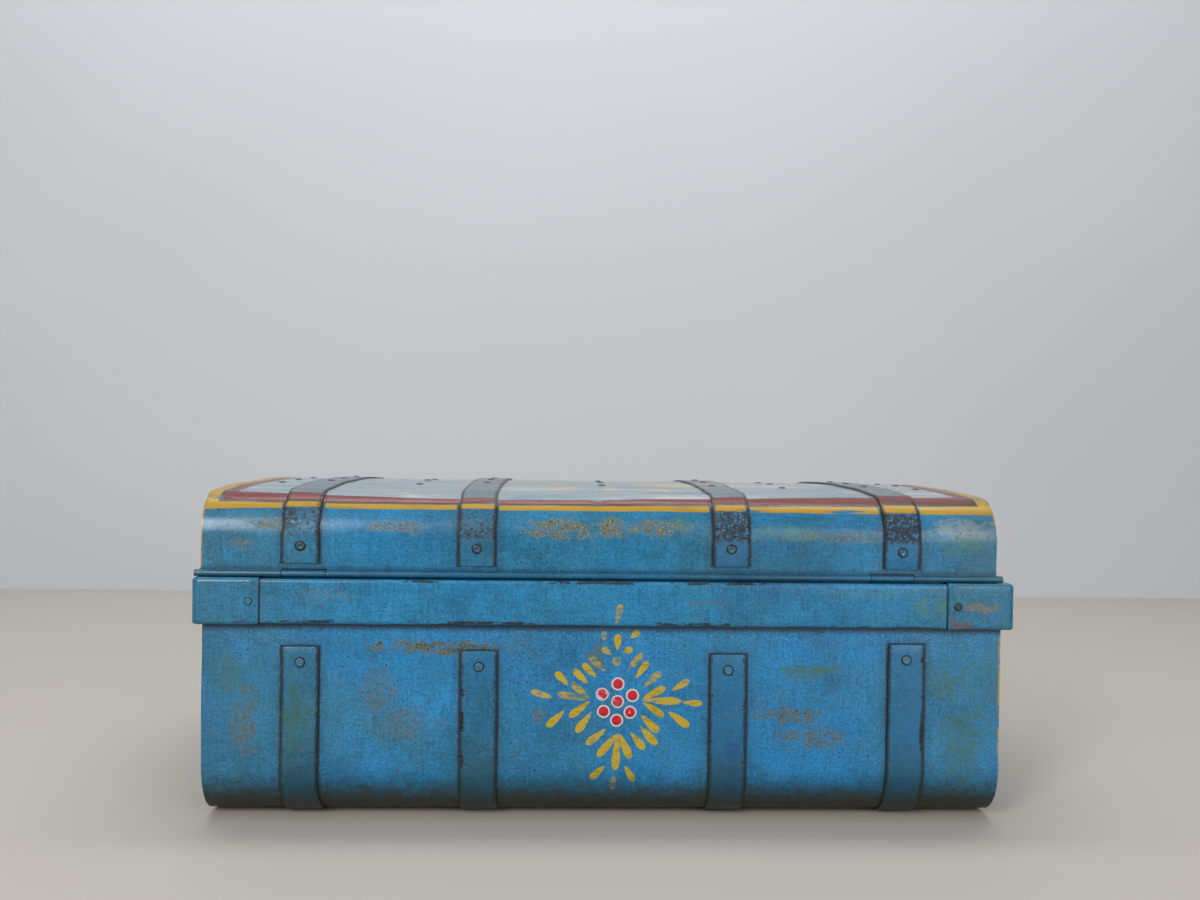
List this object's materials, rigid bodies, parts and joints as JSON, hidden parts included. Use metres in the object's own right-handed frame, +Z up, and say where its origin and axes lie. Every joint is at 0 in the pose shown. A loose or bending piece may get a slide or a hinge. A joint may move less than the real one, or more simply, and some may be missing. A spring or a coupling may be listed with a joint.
{
  "type": "metal storage trunk",
  "caption": "Painted sheet-iron storage trunk banded with riveted iron straps, with a projecting collar, a hinged round-edged lid, slotted hasps and drop handles.",
  "frame": {"origin": "on the floor under the middle of the trunk, at the undersides of the body straps", "axes": "+X along the trunk's length, -Y the hinge side, +Y the hasp side, +Z up; left is -X"},
  "size_m": [0.7829, 0.4866, 0.3209],
  "materials": {
    "body_paint": "worn brushed oil paint, semi-gloss",
    "lid_paint": "worn brushed oil paint, semi-gloss, with painted stripes",
    "collar_paint": "worn brushed oil paint chipped along its edges",
    "strap_paint": "worn paint, greyed and rust-specked",
    "rivet_paint": "paint worn through to dark iron",
    "hinge_paint": "worn brushed oil paint",
    "fitting_iron": "dark forged iron with traces of paint",
    "bare_wire": "bare drawn wire, lightly rusted",
    "batten_iron": "old primer, rust-specked"
  },
  "bodies": {
    "body": {"body_shell": "body_paint", "body_end_left": "body_paint", "body_end_right": "body_paint", "collar_back": "collar_paint", "collar_front": "collar_paint", "collar_end_left": "collar_paint", "collar_end_right": "collar_paint", "body_strap_1": "strap_paint", "body_strap_2": "strap_paint", "body_strap_3": "strap_paint", "body_strap_4": "strap_paint", "body_strap_rivets": "rivet_paint", "collar_rivets": "rivet_paint", "handle_rivets": "rivet_paint", "hinge_leaf_rivets": "rivet_paint", "hinge_leaf_left": "hinge_paint", "hinge_leaf_right": "hinge_paint", "handle_plate_left": "fitting_iron", "handle_plate_right": "fitting_iron", "handle_saddles_left": "fitting_iron", "handle_saddles_right": "fitting_iron", "hasp_staple_left": "fitting_iron", "hasp_staple_right": "fitting_iron"},
    "lid": {"lid_shell": "lid_paint", "lid_end_left": "lid_paint", "lid_end_right": "lid_paint", "lid_rim_wires": "bare_wire", "hinge_rod": "bare_wire", "lid_strap_1": "strap_paint", "lid_strap_2": "strap_paint", "lid_strap_3": "strap_paint", "lid_strap_4": "strap_paint", "lid_strap_rivets": "rivet_paint", "lid_batten_back": "batten_iron", "lid_batten_middle": "batten_iron", "lid_batten_front": "batten_iron", "lid_batten_rivets": "rivet_paint", "hasp_bracket_left": "fitting_iron", "hasp_bracket_right": "fitting_iron", "hasp_pin_left": "fitting_iron", "hasp_pin_right": "fitting_iron", "hasp_bracket_rivets": "rivet_paint"},
    "handle_left": {"handle_left": "fitting_iron"},
    "handle_right": {"handle_right": "fitting_iron"},
    "hasp_left": {"hasp_left": "fitting_iron"},
    "hasp_right": {"hasp_right": "fitting_iron"}
  },
  "joints": [
    {"name": "lid_hinge", "type": "hinge", "parent": "body", "child": "lid", "pos_m": [0, -0.2292, 0.2362], "axis": [1, 0, 0], "range_deg": [0, 120]},
    {"name": "handle_left_swing", "type": "hinge", "parent": "body", "child": "handle_left", "pos_m": [-0.3855, 0, 0.15], "axis": [0, 1, 0], "range_deg": [0, 150]},
    {"name": "handle_right_swing", "type": "hinge", "parent": "body", "child": "handle_right", "pos_m": [0.3855, 0, 0.15], "axis": [0, -1, 0], "range_deg": [0, 150]},
    {"name": "hasp_left_swing", "type": "hinge", "parent": "lid", "child": "hasp_left", "pos_m": [-0.204, 0.2359, 0.246], "axis": [-1, 0, 0], "range_deg": [0, 188]},
    {"name": "hasp_right_swing", "type": "hinge", "parent": "lid", "child": "hasp_right", "pos_m": [0.204, 0.2359, 0.246], "axis": [-1, 0, 0], "range_deg": [0, 188]}
  ]
}
